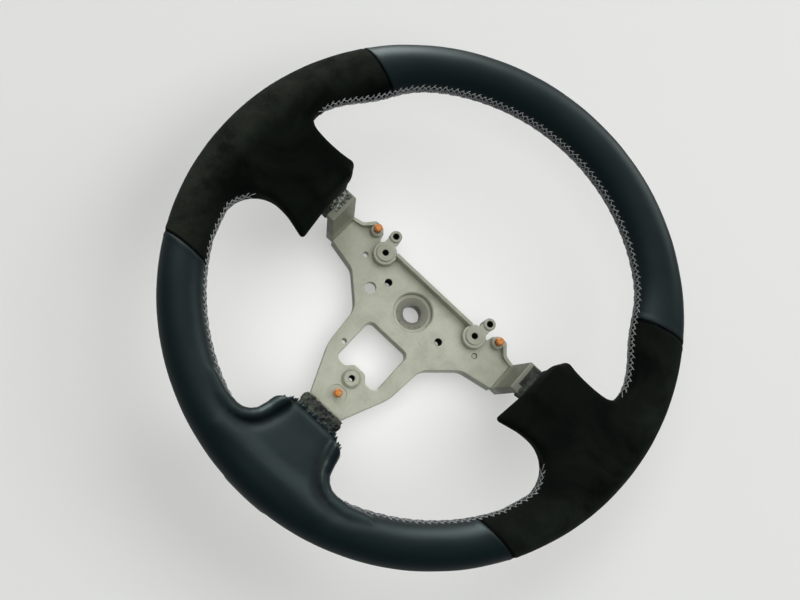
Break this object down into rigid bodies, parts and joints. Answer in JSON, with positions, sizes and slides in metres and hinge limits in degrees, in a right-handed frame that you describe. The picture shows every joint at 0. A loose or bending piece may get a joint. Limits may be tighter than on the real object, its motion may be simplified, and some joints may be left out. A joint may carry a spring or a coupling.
{
  "type": "steering wheel",
  "caption": "Three-spoke steering wheel with leather and suede grip, laced inner edge and a bare cast hub plate with a serrated column bore; no centre pad.",
  "frame": {"origin": "on the column axis, on the face that the column nut seats on", "axes": "+Y down the column, away from the driver; +Z to 12 o'clock on the wheel; +X to 3 o'clock as the driver sees it"},
  "size_m": [0.37, 0.1074, 0.37],
  "materials": {
    "cast_alloy": "bare die-cast light alloy, chromate-treated, fine matte",
    "bush_steel": "turned and broached, dull",
    "core_steel": "drawn bar, bare",
    "foam": "black moulded polyurethane, torn where it shows",
    "smooth_leather": "smooth blue-black leather, satin",
    "suede": "black suede, short nap",
    "grey_thread": "silver-grey waxed thread",
    "black_thread": "black sewing thread",
    "pin_copper": "copper-coloured, polished tip"
  },
  "bodies": {
    "root": {"hub_casting": "cast_alloy", "right_arm_casting": "cast_alloy", "left_arm_casting": "cast_alloy", "low_arm_casting": "cast_alloy", "spline_bush": "bush_steel", "rim_ring": "core_steel", "grip_foam": "foam", "right_contact_pin": "pin_copper", "left_contact_pin": "pin_copper", "low_contact_pin": "pin_copper", "top_leather": "smooth_leather", "bottom_leather": "smooth_leather", "right_suede": "suede", "left_suede": "suede", "top_right_joint_thread": "black_thread", "top_left_joint_thread": "black_thread", "low_right_joint_thread": "black_thread", "low_left_joint_thread": "black_thread", "top_lacing": "grey_thread", "right_lacing": "grey_thread", "left_lacing": "grey_thread", "right_spoke_seam": "grey_thread", "left_spoke_seam": "grey_thread", "bottom_spoke_seam": "grey_thread"}
  },
  "joints": []
}
